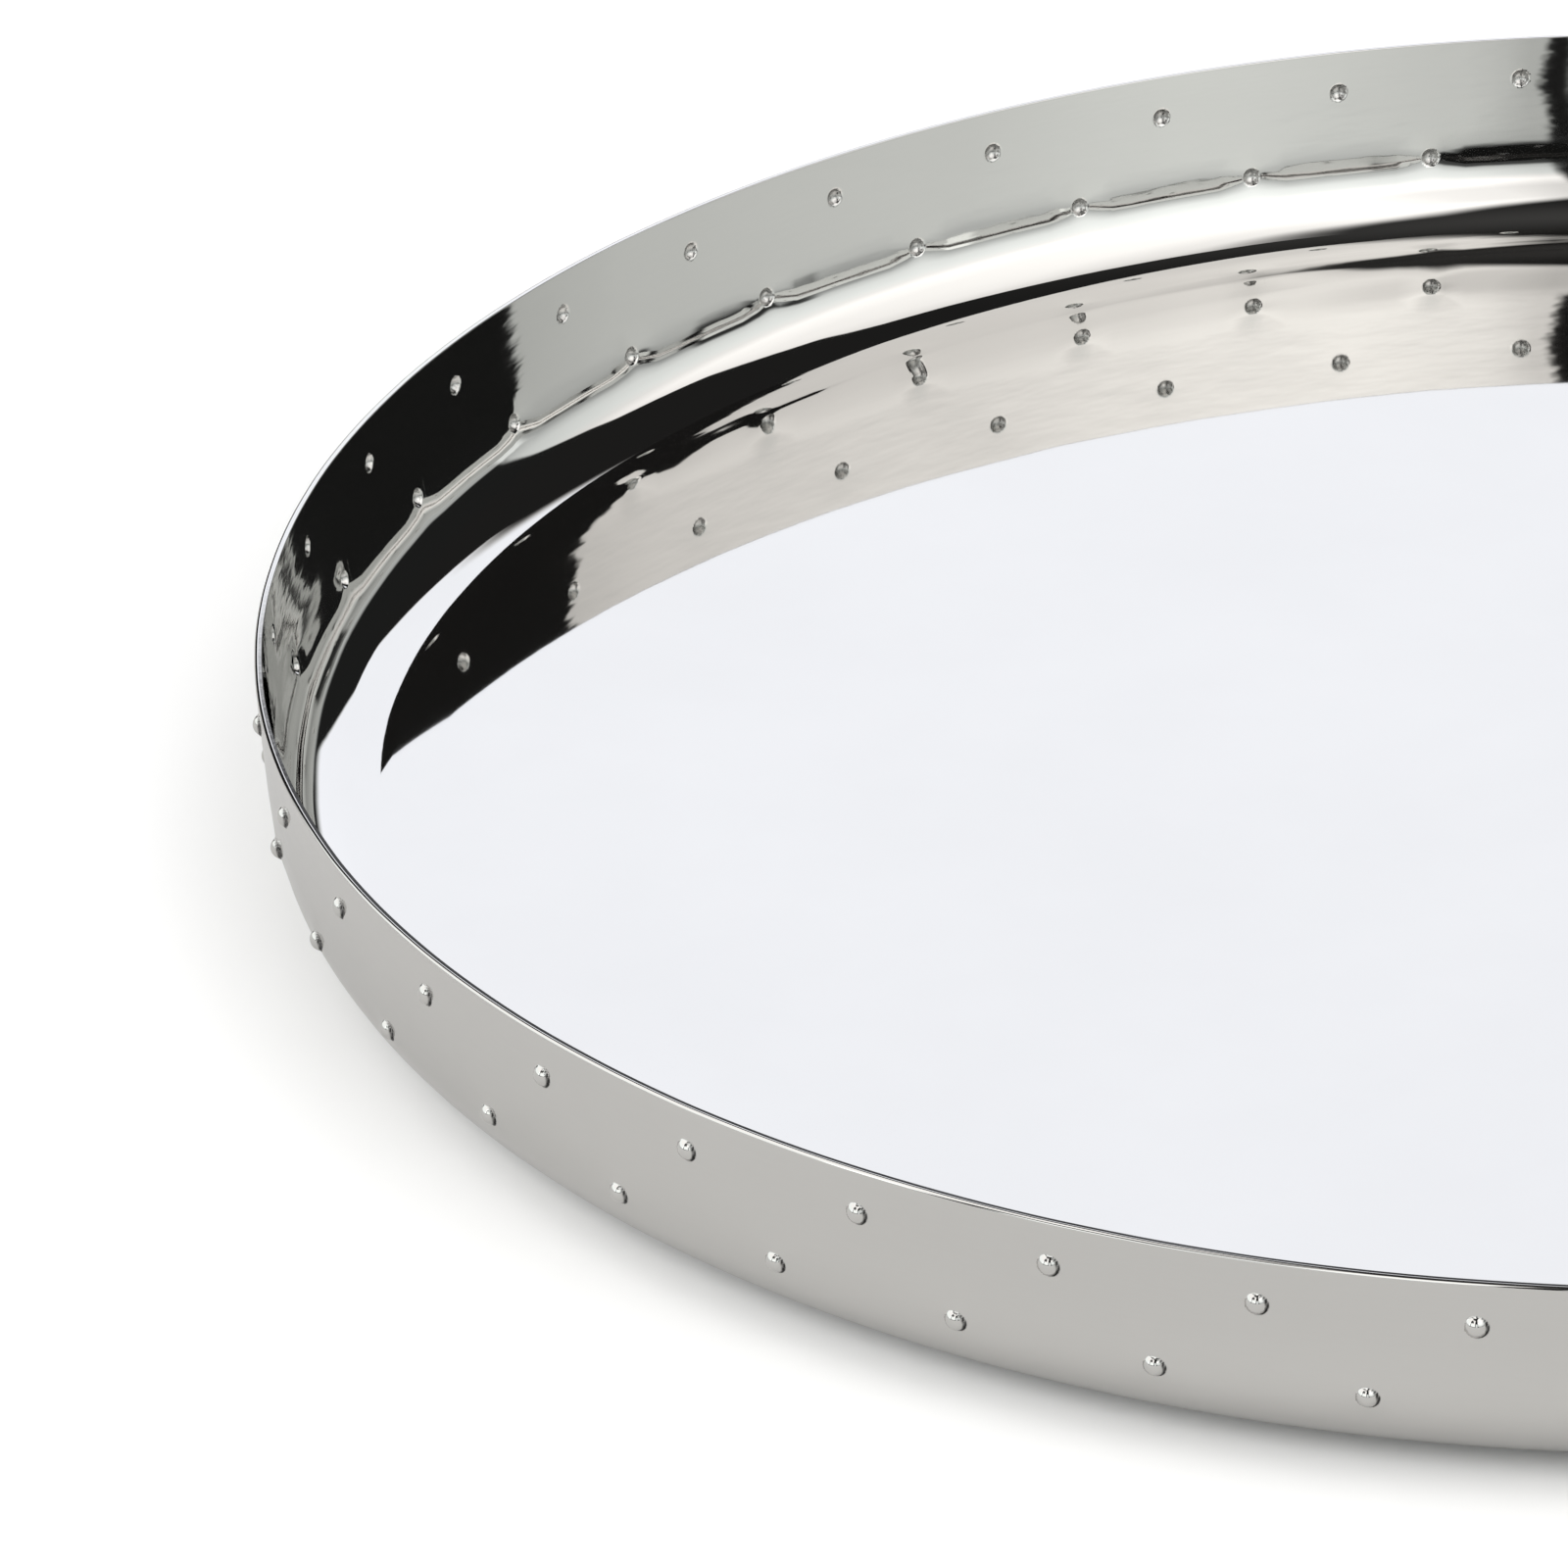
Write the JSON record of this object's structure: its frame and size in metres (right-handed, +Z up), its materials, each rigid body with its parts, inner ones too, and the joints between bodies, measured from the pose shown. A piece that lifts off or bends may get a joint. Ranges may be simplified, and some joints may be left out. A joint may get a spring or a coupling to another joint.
{
  "type": "round serving tray",
  "caption": "Round shallow serving tray in mirror-polished sheet steel, with an upright wall, staggered rows of pressed domed studs and clear bumper feet.",
  "frame": {"origin": "centre of the circle of bumpers, on the surface the tray stands on", "axes": "+Z up, out of the open side of the tray; +X through a stud of the upper row; the tray is round about Z"},
  "size_m": [0.401, 0.401, 0.0326],
  "materials": {
    "polished_wall": "mirror-polished stainless steel sheet, slightly wavy where the studs are pressed",
    "polished_base": "mirror-polished stainless steel sheet, flat and even",
    "clear_silicone": "clear soft silicone, satin",
    "adhesive_film": "thin clear pressure-sensitive adhesive"
  },
  "bodies": {
    "root": {"wall_band": "polished_wall", "base_pan": "polished_base", "bumper_back_right": "clear_silicone", "bumper_back_left": "clear_silicone", "bumper_front_left": "clear_silicone", "bumper_front_right": "clear_silicone", "adhesive_back_right": "adhesive_film", "adhesive_back_left": "adhesive_film", "adhesive_front_left": "adhesive_film", "adhesive_front_right": "adhesive_film"}
  },
  "joints": []
}
